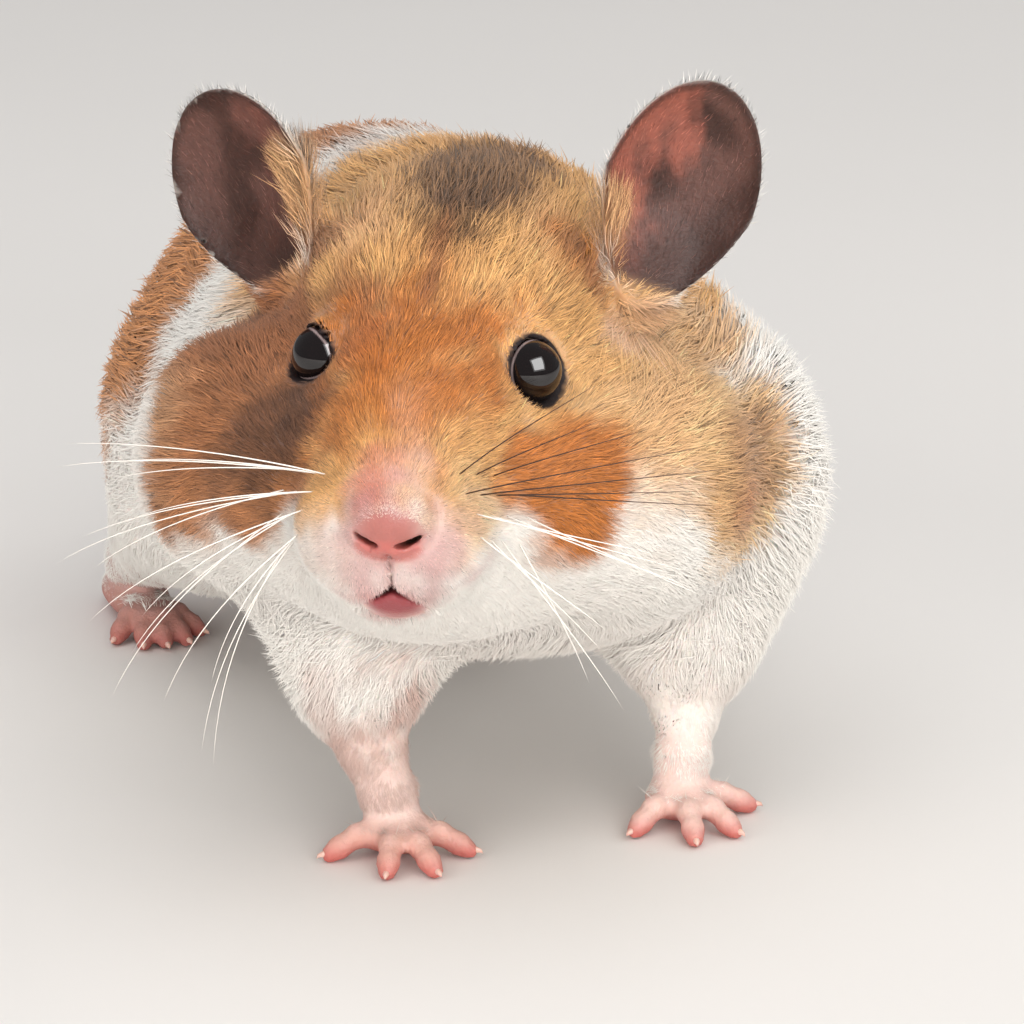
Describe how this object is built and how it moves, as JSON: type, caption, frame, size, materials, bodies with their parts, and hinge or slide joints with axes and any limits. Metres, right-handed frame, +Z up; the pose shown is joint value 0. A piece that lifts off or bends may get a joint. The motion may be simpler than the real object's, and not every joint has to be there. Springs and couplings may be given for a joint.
{
  "type": "syrian hamster",
  "caption": "Life-size standing Syrian hamster with a golden, brown and white coat, its head turned to its right.",
  "frame": {"origin": "on the floor, under the centre of the bounding box", "axes": "+Y along the trunk from the chest to the tail, so the animal faces -Y; +X to its left; +Z up"},
  "size_m": [0.0718, 0.132, 0.0754],
  "materials": {
    "coat": "soft fur, golden brown above and white below",
    "bare_skin": "thinly haired pink skin",
    "ear_skin": "thin dark grey-brown skin with fine hairs",
    "eye": "wet, glossy, almost black"
  },
  "bodies": {
    "root": {"head": "coat", "neck": "coat", "trunk": "coat", "foreleg_left": "coat", "foreleg_right": "coat", "hindleg_left": "coat", "hindleg_right": "coat", "forepaw_left": "bare_skin", "forepaw_right": "bare_skin", "hindpaw_left": "bare_skin", "hindpaw_right": "bare_skin", "tail": "bare_skin", "ear_left": "ear_skin", "ear_right": "ear_skin", "eye_left": "eye", "eye_right": "eye"}
  },
  "joints": []
}
